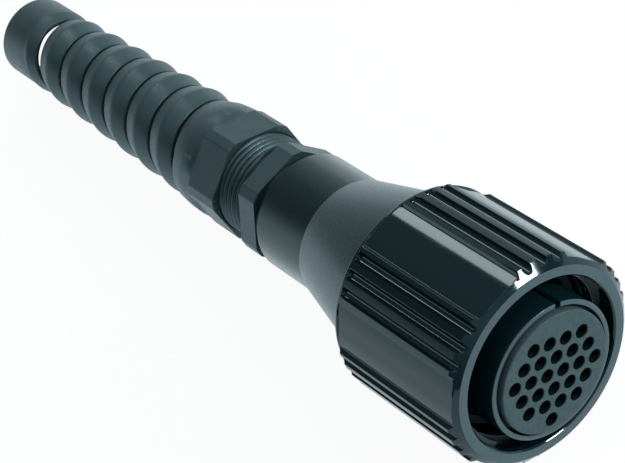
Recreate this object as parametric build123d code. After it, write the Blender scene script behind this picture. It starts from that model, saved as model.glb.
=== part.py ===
from build123d import *
from math import atan, cos, degrees, pi, radians, sin, sqrt, tan
import os

# Circular bayonet plug with a cable gland and a spiral bend relief.
# The axis lies along X. X = 0 is the front rim of the plug barrel, +X points out
# of the mating face, +Z is up as the plug lies on a flat panel of its ring. Angles
# below are about X from +Y, with the master keyway at the top, before that turn.
# Millimetres.

# Contact layout: rows of a hexagonal lattice, as (row number, holes in the row)
contact_pitch = 3.96
contact_rows = ((2, 4), (1, 5), (0, 6), (-1, 5), (-2, 4), (-3, 1))
cavity_dia = 2.9

# Clearances and fits
running_gap = 0.06
thread_gap = 0.12
slip_gap = 0.3
insert_gap = 0.05

# Plug barrel and shell
barrel_radius = 14.5
barrel_wall = 1.05
barrel_length = 13.0
rim_chamfer = 0.25
keyway_width = 1.35
keyway_depth = 9.0
keyway_angle = 89.5
flange_radius = 17.4
flange_length = 3.0
journal_radius = 16.0
journal_length = 9.0
shell_wall = 2.0
shell_thread_radius = 15.4
shell_thread_length = 11.0
insert_step_depth = 14.5

# Insert, contacts and what clamps them
insert_proud = 0.95
insert_face_radius = 13.0
insert_face_length = 4.0
insert_flange_length = 2.0
insert_chamfer = 0.3
insert_body_length = 21.5
grommet_length = 7.5
follower_length = 3.0
follower_wall = 2.2
clamp_length = 2.6
clamp_wall = 2.0
clamp_slot_width = 2.0
contact_recess = 3.4
contact_dia = 2.4
contact_bore = 1.6
contact_bore_depth = 9.0
contact_length = 27.0
shell_gasket_offset = 0.9
shell_gasket_wall = 1.6
shell_gasket_thickness = 1.1
contact_sides = 12

# Coupling ring
ring_front = 2.35
ring_length = 35.5
ring_bore_clearance = 0.7
ring_wall = 4.35
ring_lip_drop = 2.05
ring_chamfer_length = 1.7
ring_web_length = 3.4
ring_panels = 6
panel_angle = 2.5
panel_depth = 1.1
panel_half_width = 5.3
panel_stop = 0.9
rib_grooves = 3
groove_spacing = 9.6
groove_width = 1.5
groove_depth = 1.15
groove_stop = 1.5
ring_rear_drop = 0.8
crest_chamfer_length = 0.65
ring_rear_round = 0.5
ramp_count = 3
ramp_height = 1.0
ramp_width = 1.1
ramp_lead = 9.0
ramp_sweep = 220.0
ramp_start = 2.6
ramp_phase = 20.0

# Washers, spring and snap ring behind the shell flange
washer_thickness = 0.8
spring_height = 1.7
spring_waves = 3
spring_steps = 8
spring_gauge = 0.45
snap_thickness = 1.2
snap_groove_depth = 0.8
snap_height = 1.2
snap_opening = 40.0

# Backshell
backshell_start_gap = 0.5
flare_radius = 19.2
neck_radius = 13.5
flare_length = 22.4
tube_radius = 13.2
tube_length = 15.2
tube_chamfer = 0.4
backshell_wall = 2.0
backshell_seal_section = 1.3

# Cable gland, an M20 entry with 24 mm hexagons
gland_thread_radius = 10.0
gland_thread_length = 11.0
gland_flats = 24.0
gland_hex_length = 5.4
gland_hex_angle = 40.5
gland_chamfer = 0.7
seal_chamfer = 0.3
gasket_thickness = 2.2
gasket_radius = 11.9
nut_thread_radius = 11.45
gland_sleeve_length = 15.0
cable_radius = 6.9
gland_bore_radius = 7.3
seal_seat_radius = 9.5
seal_seat_depth = 9.5
seal_clearance = 0.3
seal_bead = 0.5

# Claw cage between the seal and the dome nut
cage_length = 10.5
cage_skirt_length = 3.6
cage_slits = 8
cage_slit_width = 1.0
cage_shoulder_gap = 0.3
cage_wall = 1.7
feed_travel = 1.5
seal_cage_gap = 0.3

# Dome nut and spiral bend relief, moulded in one
nut_gap = 8.5
nut_hex_length = 11.5
nut_hex_angle = 63.5
nut_corner_round = 1.2
nut_chamfer_angle = 35.0
nut_shoulder_length = 4.0
nut_thread_length = 8.6
nut_cone_mouth = 10.4
nut_cone_length = 6.4
relief_pitch = 10.03
relief_slot = 1.4
relief_root_radius = 12.15
relief_tip_radius = 10.05
relief_wall = 3.0
coil_crown_radius = 10.5
coil_crest_share = 0.35
relief_bore_stock = 0.6
relief_length = 66.4
relief_slot_mark = 139.7
relief_mark_angle = 190.0
tail_length = 13.3
tail_radius = 9.8
tail_round = 0.8
tail_bore_radius = 7.2

# The whole plug is turned so that it lies on one flat panel of its ring
lying_turn = 270 - (panel_angle + 360 / ring_panels * (ring_panels - 1))

# Stations along the axis, worked out from the lengths above
barrel_back = -barrel_length
flange_back = barrel_back - flange_length
ring_rim = -ring_front
ring_back = ring_rim - ring_length
web_front = flange_back - 2 * washer_thickness - spring_height - running_gap
web_back = web_front - ring_web_length
insert_front = insert_proud
insert_back = insert_front - insert_body_length
grommet_back = insert_back - grommet_length
follower_back = grommet_back - follower_length
clamp_back = follower_back - clamp_length
shell_bore_radius = journal_radius - shell_wall
ring_bore_radius = flange_radius + ring_bore_clearance
ring_crest_radius = ring_bore_radius + ring_wall
ring_lip_radius = ring_crest_radius - ring_lip_drop
ring_rear_radius = ring_crest_radius - ring_rear_drop
panel_distance = ring_crest_radius - panel_depth
snap_front = web_back - running_gap * 2
snap_back = snap_front - snap_thickness
journal_back = snap_back - backshell_start_gap
shell_back = journal_back - shell_thread_length
neck_station = ring_back - flare_length
tube_back = neck_station - tube_length
gland_hex_front = tube_back - gasket_thickness
gland_hex_back = gland_hex_front - gland_hex_length
sleeve_back = gland_hex_back - gland_sleeve_length
seal_seat_front = sleeve_back + seal_seat_depth
nut_front = gland_hex_back - nut_gap
nut_hex_back = nut_front - nut_hex_length
relief_front = nut_hex_back - nut_shoulder_length
relief_back = relief_front - relief_length
tail_back = relief_back - tail_length
cage_front = sleeve_back + cage_skirt_length
cage_back = cage_front - cage_length


def turned(*profile):
    # A closed (x, radius) profile turned about the X axis.
    return revolve(make_face(Polyline(*profile, close=True)), axis=Axis.X)


def sleeve(front, back, outer, inner):
    return turned((front, inner), (front, outer), (back, outer), (back, inner))


def across(station, sketch, length):
    # A sketch drawn in the YZ plane at a station, extruded backwards along the axis.
    return extrude(Plane.YZ.offset(station) * sketch, amount=-length)


def contact_places():
    row_height = contact_pitch * sqrt(3) / 2
    for row, holes in contact_rows:
        for hole in range(holes):
            yield (hole - (holes - 1) / 2) * contact_pitch, row * row_height


def at_contacts(shape):
    # The same sketch at every contact place.
    pattern = Sketch()
    for y, z in contact_places():
        pattern += Pos(y, z) * shape
    return pattern


def contact_polygon(diameter):
    # Hidden repeats are drawn with a few flat sides.
    return RegularPolygon(diameter / 2, contact_sides)


def plug_shell():
    # Barrel, coupling flange, ring journal and rear thread, turned from one bar.
    inner = barrel_radius - barrel_wall
    thread_end = shell_back
    shell = turned(
        (0, inner), (0, barrel_radius), (barrel_back, barrel_radius),
        (barrel_back, flange_radius), (flange_back, flange_radius),
        (flange_back, journal_radius), (snap_front, journal_radius),
        (snap_front, journal_radius - snap_groove_depth),
        (snap_back, journal_radius - snap_groove_depth),
        (snap_back, journal_radius), (journal_back, journal_radius),
        (journal_back, shell_thread_radius), (thread_end, shell_thread_radius),
        (thread_end, shell_bore_radius), (-insert_step_depth, shell_bore_radius),
        (-insert_step_depth, inner),
    )
    rim = shell.edges().filter_by(GeomType.CIRCLE).group_by(Axis.X)[-1]
    shell = chamfer(rim, rim_chamfer)
    keyway = Pos(-keyway_depth / 2, barrel_radius, 0) * Box(
        keyway_depth, barrel_wall * 4, keyway_width)
    return shell - Rot(keyway_angle, 0, 0) * keyway


def contact_insert():
    # Hard insulator: proud face, body in the barrel and a flange on the shell's step.
    body_radius = barrel_radius - barrel_wall - insert_gap
    flange = shell_bore_radius - insert_gap
    insert = turned(
        (insert_front, 0), (insert_front, insert_face_radius),
        (insert_front - insert_face_length, insert_face_radius),
        (insert_front - insert_face_length, body_radius),
        (-insert_step_depth, body_radius), (-insert_step_depth, flange),
        (insert_back, flange), (insert_back, 0),
    )
    face_edge = insert.edges().filter_by(GeomType.CIRCLE).group_by(Axis.X)[-1]
    insert = chamfer(face_edge, insert_chamfer)
    cavities = at_contacts(Circle(cavity_dia / 2))
    return insert - across(insert_front, cavities, insert_body_length)


def wire_grommet():
    outer = shell_bore_radius - insert_gap
    grommet = across(insert_back, Circle(outer), grommet_length)
    holes = at_contacts(contact_polygon(cavity_dia))
    return grommet - across(insert_back, holes, grommet_length)


def socket_contacts():
    # Twenty-five turned sockets, bored at the front and set back in their cavities.
    front = insert_front - contact_recess
    pins = across(front, at_contacts(contact_polygon(contact_dia)), contact_length)
    return pins - across(front, at_contacts(contact_polygon(contact_bore)), contact_bore_depth)


def grommet_follower():
    outer = shell_bore_radius - slip_gap
    return sleeve(grommet_back, follower_back, outer, outer - follower_wall)


def insert_clamp_ring():
    # Threaded ring that clamps the insert stack, with two spanner slots at its back.
    outer = shell_bore_radius - thread_gap
    ring = sleeve(follower_back, clamp_back, outer, outer - clamp_wall)
    slot = Pos(clamp_back, 0, 0) * Box(clamp_length, outer * 3, clamp_slot_width)
    return ring - slot


def shell_gasket():
    inner = barrel_radius + shell_gasket_offset
    return sleeve(barrel_back + shell_gasket_thickness, barrel_back,
                  inner + shell_gasket_wall, inner)


def washer_at(front):
    inner = journal_radius + running_gap
    return sleeve(front, front - washer_thickness, ring_bore_radius - slip_gap, inner)


def thrust_washers():
    spring_back = flange_back - washer_thickness - spring_height
    return washer_at(flange_back) + washer_at(spring_back)


def wave_spring():
    # A flat strip bent into waves around the journal, touching both washers.
    inner = journal_radius + slip_gap
    outer = ring_bore_radius - 2 * slip_gap
    middle = flange_back - washer_thickness - spring_height / 2
    swing = (spring_height - spring_gauge) / 2
    wave_angle = 360 / spring_waves
    sections = []
    for step in range(spring_steps + 1):
        phase = step / spring_steps
        lift = middle + swing * cos(2 * pi * phase)
        strip = Pos(lift, (inner + outer) / 2) * Rectangle(spring_gauge, outer - inner)
        sections.append(Rot(wave_angle * phase, 0, 0) * strip)
    wave = loft(sections)
    spring = Part()
    for number in range(spring_waves):
        spring += Rot(wave_angle * number, 0, 0) * wave
    return spring


def snap_ring():
    floor = journal_radius - snap_groove_depth
    ring = sleeve(snap_front, snap_back, journal_radius + snap_height, floor)
    reach = 2 * journal_radius
    wedge = Polygon((0, 0), (reach, -reach * tan(radians(snap_opening / 2))),
                    (reach, reach * tan(radians(snap_opening / 2))), align=None)
    return ring - across(snap_front, wedge, snap_thickness)


def ring_cutters():
    # One panel flat and its neighbouring grooves, drawn across the axis.
    groove_radius = groove_width / 2 + groove_depth / 4
    floor = ring_crest_radius - groove_depth
    slab = ring_crest_radius - panel_distance + 1
    flats = Sketch()
    grooves = Sketch()
    for panel in range(ring_panels):
        middle = panel_angle + 360 / ring_panels * panel
        flats += Rot(0, 0, middle) * Pos(panel_distance + slab / 2, 0) * Rectangle(
            slab, 2 * panel_half_width)
        for groove in range(rib_grooves):
            offset = (groove - (rib_grooves - 1) / 2) * groove_spacing
            turn = middle + 180 / ring_panels + offset
            grooves += Rot(0, 0, turn) * Pos(floor + groove_radius, 0) * Circle(groove_radius)
    return flats, grooves


def bayonet_ramps():
    # Helical ridges in the bore that draw the receptacle's lugs in.
    rise = ramp_lead * ramp_sweep / 360
    root = ring_bore_radius + ramp_height / 2
    path = Helix(pitch=ramp_lead, height=rise, radius=root)
    ridge = Plane(origin=path @ 0, x_dir=(1, 0, 0), z_dir=(0, 1, 0)) * Pos(
        -ramp_height / 2, 0) * Rectangle(ramp_height * 2, ramp_width)
    ramp = sweep(ridge, path=path, is_frenet=True)
    start = ring_rim - ramp_start - rise
    ramps = []
    for number in range(ramp_count):
        turn = Rot(0, 0, ramp_phase + 360 / ramp_count * number)
        ramps.append(Plane.YZ.offset(start) * (turn * ramp))
    return ramps


def coupling_ring():
    # Ribbed ring with six flat panels, a chamfered lip, a low rear band and an inner web.
    chamfer_end = ring_rim - ring_chamfer_length
    rear_bore = flare_radius + slip_gap
    web_bore = journal_radius + running_gap
    rear_band = ring_back + panel_stop
    ring = turned(
        (ring_rim, ring_bore_radius), (ring_rim, ring_lip_radius),
        (chamfer_end, ring_crest_radius),
        (rear_band + crest_chamfer_length, ring_crest_radius), (rear_band, ring_rear_radius),
        (ring_back + ring_rear_round, ring_rear_radius),
        (ring_back, ring_rear_radius - ring_rear_round), (ring_back, rear_bore),
        (web_back, rear_bore), (web_back, web_bore), (web_front, web_bore),
        (web_front, ring_bore_radius),
    )
    flats, grooves = ring_cutters()
    ring -= across(ring_rim, flats, ring_length - panel_stop)
    ring -= across(ring_rim, grooves, ring_length - groove_stop)
    for ramp in bayonet_ramps():
        ring += ramp
    return ring


def backshell():
    # Screws onto the shell, flares down to a tube and takes the gland's thread.
    bore = shell_thread_radius + thread_gap
    seat = bore + backshell_seal_section + insert_gap
    seat_back = journal_back - backshell_seal_section - insert_gap
    gland_bore = gland_thread_radius + thread_gap
    thread_front = tube_back + gland_thread_length
    return turned(
        (journal_back, seat), (journal_back, flare_radius), (ring_back, flare_radius),
        (neck_station, neck_radius), (neck_station, tube_radius),
        (tube_back + tube_chamfer, tube_radius), (tube_back, tube_radius - tube_chamfer),
        (tube_back, gland_bore), (thread_front, gland_bore),
        (thread_front, tube_radius - backshell_wall),
        (neck_station, tube_radius - backshell_wall),
        (ring_back, shell_bore_radius), (shell_back, shell_bore_radius),
        (shell_back, bore), (seat_back, bore), (seat_back, seat),
    )


def backshell_seal():
    # Square-section ring, chamfered outside, in the recess at the backshell's mouth.
    inner = shell_thread_radius + thread_gap
    outer = inner + backshell_seal_section
    back = journal_back - backshell_seal_section
    return turned(
        (journal_back, inner), (journal_back, outer - seal_chamfer),
        (journal_back - seal_chamfer, outer), (back + seal_chamfer, outer),
        (back, outer - seal_chamfer), (back, inner),
    )


def gland_gasket():
    return sleeve(tube_back, gland_hex_front, gasket_radius, gland_thread_radius + thread_gap)


def hex_corner(flats):
    return flats / sqrt(3)


def hexagon(flats, corner_angle):
    return Rot(0, 0, corner_angle) * RegularPolygon(hex_corner(flats), 6)


def gland_body():
    # Entry thread, spanner hexagon and the threaded sleeve that takes the dome nut.
    thread_front = tube_back + gland_thread_length
    corner = hex_corner(gland_flats)
    hexed = across(gland_hex_front, hexagon(gland_flats, gland_hex_angle), gland_hex_length)
    hexed &= turned(
        (gland_hex_front, 0), (gland_hex_front, corner - gland_chamfer),
        (gland_hex_front - gland_chamfer, corner + insert_gap),
        (gland_hex_back + gland_chamfer, corner + insert_gap),
        (gland_hex_back, corner - gland_chamfer), (gland_hex_back, 0),
    )
    body = hexed + sleeve(thread_front, gland_hex_front, gland_thread_radius, gland_bore_radius)
    body += sleeve(gland_hex_back, sleeve_back, nut_thread_radius, gland_bore_radius)
    body -= across(thread_front, Circle(gland_bore_radius), thread_front - sleeve_back)
    return body - across(seal_seat_front, Circle(seal_seat_radius), seal_seat_depth)


def clamp_seal():
    # Rubber bush with beads outside, squeezed between the gland body and the cage.
    back = cage_front + feed_travel + seal_cage_gap
    outer = seal_seat_radius - seal_clearance
    middle = (seal_seat_front + back) / 2
    return turned(
        (seal_seat_front, cable_radius), (seal_seat_front, outer - seal_bead),
        ((seal_seat_front + middle) / 2, outer), (middle, outer - seal_bead),
        ((middle + back) / 2, outer), (back, outer - seal_bead), (back, cable_radius),
    )


def nut_cone_radius(station):
    # Radius of the dome nut's inner cone at a station behind its thread.
    mouth = nut_front - nut_thread_length
    throat = relief_root_radius - relief_wall
    return nut_cone_mouth - (nut_cone_mouth - throat) * (mouth - station) / nut_cone_length


def claw_cage():
    # Slit cage whose claws the nut's cone closes on the cable.
    shoulder = nut_front - nut_thread_length + cage_shoulder_gap
    skirt = seal_seat_radius - seal_clearance
    slit_front = shoulder - cage_wall
    cage = turned(
        (cage_front, gland_bore_radius), (cage_front, skirt), (shoulder, skirt),
        (shoulder, nut_cone_mouth - thread_gap),
        (shoulder - cage_shoulder_gap, nut_cone_mouth - thread_gap),
        (cage_back, nut_cone_radius(cage_back) - thread_gap), (cage_back, gland_bore_radius),
    )
    for slit in range(cage_slits):
        depth = slit_front - cage_back
        blade = Pos((slit_front + cage_back) / 2, skirt, 0) * Box(
            depth, skirt, cage_slit_width)
        cage -= Rot(360 / cage_slits * slit, 0, 0) * blade
    return cage


def crown_drop(offset):
    # How far the rounded coil falls at an offset from its crest.
    return coil_crown_radius - sqrt(coil_crown_radius**2 - offset**2)


def relief_coil():
    # One rounded strip wound on a taper; the slot is what is left between its turns.
    turn_width = relief_pitch - relief_slot
    taper = (relief_root_radius - relief_tip_radius) / relief_length
    end_back = relief_back - relief_pitch / 2
    height = relief_length + relief_pitch
    start_radius = relief_tip_radius - taper * relief_pitch / 2
    half = turn_width / 2
    crest = half * coil_crest_share
    foot = -relief_wall - relief_bore_stock
    section = make_face(Polyline(
        (-crown_drop(half), -half), (-crown_drop(crest), -crest),
        (-crown_drop(crest), crest), (-crown_drop(half), half),
        (foot, half), (foot, -half), close=True))
    path = Helix(pitch=relief_pitch, height=height, radius=start_radius,
                 cone_angle=degrees(atan(taper)))
    coil = sweep(Plane(origin=path @ 0, x_dir=(1, 0, 0), z_dir=(0, 1, 0)) * section,
                 path=path, is_frenet=True)
    strip_mark = -relief_slot_mark + relief_pitch / 2
    start_angle = relief_mark_angle + 360 * (end_back - strip_mark) / relief_pitch
    return Plane.YZ.offset(end_back) * (Rot(0, 0, start_angle) * coil)


def spiral_nut():
    # Dome nut and spiral bend relief in one moulding, with the cable bore at its tail.
    corner = hex_corner(gland_flats)
    shoulder = relief_root_radius + thread_gap
    lead = tan(radians(nut_chamfer_angle))
    front_radius = gland_flats / 2
    thread_bore = nut_thread_radius + thread_gap
    mouth = nut_front - nut_thread_length
    throat = relief_root_radius - relief_wall
    cone_back = mouth - nut_cone_length
    neck = relief_front - relief_slot
    flats = across(nut_front, hexagon(gland_flats, nut_hex_angle), nut_front - relief_front)
    flats = fillet(flats.edges().filter_by(Axis.X), nut_corner_round)
    flats &= turned(
        (nut_front, 0), (nut_front, front_radius),
        (nut_front - (corner - front_radius) / lead, corner), (nut_hex_back, corner),
        (relief_front, shoulder), (relief_front, 0),
    )
    nut = flats + turned((relief_front, 0), (relief_front, shoulder), (neck, shoulder), (neck, 0))
    nut += turned(
        (relief_back, 0), (relief_back, tail_radius), (tail_back + tail_round, tail_radius),
        (tail_back, tail_radius - tail_round), (tail_back, 0),
    )
    nut += relief_coil()
    bore = turned(
        (nut_front, 0), (nut_front, thread_bore), (mouth, thread_bore),
        (mouth, nut_cone_mouth), (cone_back, throat), (relief_front, throat),
        (relief_back, tail_bore_radius), (tail_back, tail_bore_radius), (tail_back, 0),
    )
    return nut - bore


builders = (
    coupling_ring, plug_shell, contact_insert, wire_grommet, socket_contacts,
    grommet_follower, insert_clamp_ring, shell_gasket, thrust_washers, wave_spring,
    snap_ring, backshell, backshell_seal, gland_gasket, gland_body, clamp_seal,
    claw_cage, spiral_nut,
)

os.makedirs("parts", exist_ok=True)
for builder in builders:
    export_step(Rot(lying_turn, 0, 0) * builder(), os.path.join("parts", builder.__name__ + ".step"))
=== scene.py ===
from math import atan2, cos, pi, radians, sin, sqrt, tan

import bmesh
import bpy
from mathutils import Matrix, Vector


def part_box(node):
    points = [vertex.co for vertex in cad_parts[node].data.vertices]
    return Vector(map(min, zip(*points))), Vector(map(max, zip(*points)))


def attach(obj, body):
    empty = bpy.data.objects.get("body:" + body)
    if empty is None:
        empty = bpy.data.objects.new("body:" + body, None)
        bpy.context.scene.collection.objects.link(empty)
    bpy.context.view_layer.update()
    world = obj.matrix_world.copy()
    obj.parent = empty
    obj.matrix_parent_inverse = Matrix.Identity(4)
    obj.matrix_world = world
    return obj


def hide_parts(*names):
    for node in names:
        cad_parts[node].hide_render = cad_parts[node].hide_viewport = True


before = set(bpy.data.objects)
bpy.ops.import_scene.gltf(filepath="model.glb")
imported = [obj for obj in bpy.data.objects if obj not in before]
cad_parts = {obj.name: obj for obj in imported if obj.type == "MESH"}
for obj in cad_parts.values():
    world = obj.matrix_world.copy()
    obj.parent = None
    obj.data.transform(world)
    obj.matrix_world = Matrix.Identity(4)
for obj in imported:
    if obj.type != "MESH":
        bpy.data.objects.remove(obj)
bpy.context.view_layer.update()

mm = 0.001
fineEdge = 0.1  # roundings of plain edges, in mm
softEdge = 0.2
lyingTurn = -32.5  # degrees about X: the plug lies on one flat panel of its ring
lie = Matrix.Rotation(radians(lyingTurn), 4, "X")  # all angles here are measured with the keyway on top


def ends(node):  # back and front station of a CAD node, in mm from the barrel's front rim
    low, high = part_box(node)
    return low.x / mm, high.x / mm


ringBack, ringFront = ends("coupling_ring")
shellBack, barrelRim = ends("plug_shell")
insertBack, insertFront = ends("contact_insert")
tubeBack, backshellFront = ends("backshell")
glandHexFront = ends("gland_gasket")[0]
sleeveBack, glandFront = ends("gland_body")
tailBack, nutFront = ends("spiral_nut")


# Helpers for outlines and turned shapes
def span(start, end, steps):
    return [start + (end - start) * step / steps for step in range(steps + 1)]


def roundedOutline(corners, steps=4):  # corners are (station, radius, rounding), round a closed outline
    points = []
    for number, (station, radius, rounding) in enumerate(corners):
        corner = Vector((station, radius))
        if rounding == 0:
            points.append(corner)
            continue
        before = (Vector(corners[number - 1][:2]) - corner).normalized()
        after = (Vector(corners[(number + 1) % len(corners)][:2]) - corner).normalized()
        half = before.angle(after) / 2
        centre = corner + (before + after).normalized() * rounding / sin(half)
        first = corner + before * rounding / tan(half) - centre
        last = corner + after * rounding / tan(half) - centre
        startAngle = atan2(first.y, first.x)
        turn = (atan2(last.y, last.x) - startAngle + pi) % (2 * pi) - pi
        for angle in span(startAngle, startAngle + turn, steps):
            points.append(centre + rounding * Vector((cos(angle), sin(angle))))
    return points


def slopeRows(start, end, steps):  # corners along a straight slope, without its first one
    rows = zip(span(start[0], end[0], steps), span(start[1], end[1], steps))
    return [(station, radius, 0) for station, radius in rows][1:]


def faceOutward(mesh):
    work = bmesh.new()
    work.from_mesh(mesh)
    bmesh.ops.recalc_face_normals(work, faces=work.faces)
    work.to_mesh(mesh)
    work.free()


def meshPiece(name, vertices, faces):
    mesh = bpy.data.meshes.new(name)
    mesh.from_pydata(vertices, [], faces)
    faceOutward(mesh)
    piece = bpy.data.objects.new(name, mesh)
    bpy.context.collection.objects.link(piece)
    return piece


def turnedPiece(name, outline, around, solid=False):  # solid closes both ends with a cap
    vertices = []
    for station, radius in outline:
        for step in range(around):
            angle = 2 * pi * step / around
            vertices.append((station * mm, radius * mm * cos(angle), radius * mm * sin(angle)))
    rings = len(outline)
    faces = []
    for ring in range(rings - 1 if solid else rings):
        here = ring * around
        there = (ring + 1) % rings * around
        for step in range(around):
            following = (step + 1) % around
            faces.append((here + step, here + following, there + following, there + step))
    if solid:
        faces.append(tuple(range(around)))
        faces.append(tuple((rings - 1) * around + step for step in range(around)))
    return meshPiece(name, vertices, faces)


# A straight bar with its section in X and Y, one millimetre long in Z for each turn it will be wound.
# From the turn narrowFrom on, its front half is narrower by the share narrowBy.
def barPiece(name, section, turns, stepsPerTurn, narrowFrom=1000, narrowBy=0.0, easeTurns=0.25):
    steps = int(turns * stepsPerTurn)
    vertices = []
    for turn in span(0, turns, steps):
        ease = min(max((turn - narrowFrom) / easeTurns, 0), 1)
        share = 1 - narrowBy * ease * ease * (3 - 2 * ease)
        for along, height in section:
            vertices.append((along * (share if along > 0 else 1) * mm, height * mm, turn * mm))
    around = len(section)
    faces = [tuple(range(around)), tuple(steps * around + corner for corner in range(around))]
    for step in range(steps):
        for corner in range(around):
            following = (corner + 1) % around
            here = step * around
            there = here + around
            faces.append((here + corner, here + following, there + following, there + corner))
    return meshPiece(name, vertices, faces)


def dropPiece(piece):
    mesh = piece.data
    bpy.data.objects.remove(piece)
    bpy.data.meshes.remove(mesh)


def settle(piece, materials, body, node, sharp=34, second=None):  # last step of a finished piece
    mesh = piece.data
    mesh.materials.clear()
    for material in materials:
        mesh.materials.append(material)
    for face in mesh.polygons:  # second tells which faces take the second finish
        face.material_index = 1 if second and second(face.center / mm, face.normal) else 0
    mesh.transform(lie)
    faceOutward(mesh)
    mesh.shade_smooth()
    mesh.set_sharp_from_angle(angle=radians(sharp))
    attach(piece, body)
    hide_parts(node)


# Helpers for Geometry Nodes
def newTree(name, sizes):
    tree = bpy.data.node_groups.new(name, "GeometryNodeTree")
    tree.interface.new_socket("Geometry", in_out="INPUT", socket_type="NodeSocketGeometry")
    for label, value in sizes.items():
        kind = "NodeSocketInt" if isinstance(value, int) else "NodeSocketFloat"
        tree.interface.new_socket(label, in_out="INPUT", socket_type=kind).default_value = value
    tree.interface.new_socket("Tool", in_out="INPUT", socket_type="NodeSocketObject")
    tree.interface.new_socket("Material", in_out="INPUT", socket_type="NodeSocketMaterial")
    tree.interface.new_socket("Geometry", in_out="OUTPUT", socket_type="NodeSocketGeometry")
    return tree, tree.nodes.new("NodeGroupInput").outputs


def wire(tree, value, socket):
    if isinstance(value, bpy.types.NodeSocket):
        tree.links.new(value, socket)
    else:
        socket.default_value = value


def addNode(tree, kind, inputs=(), **options):
    node = tree.nodes.new(kind)
    for option, value in options.items():
        setattr(node, option, value)
    for socket, value in dict(inputs).items():
        wire(tree, value, node.inputs[socket])
    return node.outputs


def calc(tree, operation, *values):
    return addNode(tree, "ShaderNodeMath", dict(enumerate(values)), operation=operation)[0]


def pointParts(tree):  # station, angle and radius of each point, in mm and radians, and its height
    place = addNode(tree, "GeometryNodeInputPosition")["Position"]
    scaled = addNode(tree, "ShaderNodeVectorMath", {0: place, "Scale": 1 / mm}, operation="SCALE")[0]
    parts = addNode(tree, "ShaderNodeSeparateXYZ", {0: scaled})
    acrossSquare = calc(tree, "MULTIPLY", parts["Y"], parts["Y"])
    upSquare = calc(tree, "MULTIPLY", parts["Z"], parts["Z"])
    radius = calc(tree, "SQRT", calc(tree, "ADD", acrossSquare, upSquare))
    return parts, calc(tree, "ARCTAN2", parts["Z"], parts["Y"]), radius


def placePoints(tree, geometry, station, angle, radius):
    across = calc(tree, "MULTIPLY", radius, calc(tree, "COSINE", angle))
    upward = calc(tree, "MULTIPLY", radius, calc(tree, "SINE", angle))
    spot = addNode(tree, "ShaderNodeCombineXYZ", {"X": station, "Y": across, "Z": upward})[0]
    spot = addNode(tree, "ShaderNodeVectorMath", {0: spot, "Scale": mm}, operation="SCALE")[0]
    return addNode(tree, "GeometryNodeSetPosition", {"Geometry": geometry, "Position": spot})[0]


def sectorAngle(tree, angle, count, first):  # angle from the middle of the nearest of count equal sectors
    half = calc(tree, "DIVIDE", pi, count)
    turned = calc(tree, "SUBTRACT", angle, calc(tree, "RADIANS", first))
    return calc(tree, "WRAP", turned, half, calc(tree, "MULTIPLY", half, -1.0))


def cutOuter(tree, given, parts, angle, radius, cut):  # keeps the lower of the surface and the cut, softly
    lower = calc(tree, "SMOOTH_MIN", radius, cut, given["Softness"])
    outer = calc(tree, "GREATER_THAN", radius, given["Least radius"])
    change = calc(tree, "MULTIPLY", outer, calc(tree, "SUBTRACT", lower, radius))
    return placePoints(tree, given["Geometry"], parts["X"], angle, calc(tree, "ADD", radius, change))


def closeTree(tree, geometry, material):
    real = addNode(tree, "GeometryNodeRealizeInstances", {0: geometry})[0]
    done = addNode(tree, "GeometryNodeSetMaterial", {"Geometry": real, "Material": material})[0]
    tree.links.new(done, tree.nodes.new("NodeGroupOutput").inputs["Geometry"])
    return tree


def bakeModifier(piece, modifier):  # the modifier's result becomes the piece's own mesh
    view = bpy.context.evaluated_depsgraph_get()
    baked = bpy.data.meshes.new_from_object(piece.evaluated_get(view))
    piece.modifiers.remove(modifier)
    oldMesh = piece.data
    piece.data = baked
    bpy.data.meshes.remove(oldMesh)


def bakeTree(piece, tree, sizes, material, tool=None):
    modifier = piece.modifiers.new(tree.name, "NODES")
    modifier.node_group = tree
    wanted = dict(sizes, Material=material, Tool=tool)
    for item in tree.interface.items_tree:
        if item.item_type == "SOCKET" and item.in_out == "INPUT" and wanted.get(item.name) is not None:
            modifier[item.identifier] = wanted[item.name]
    bakeModifier(piece, modifier)


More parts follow.
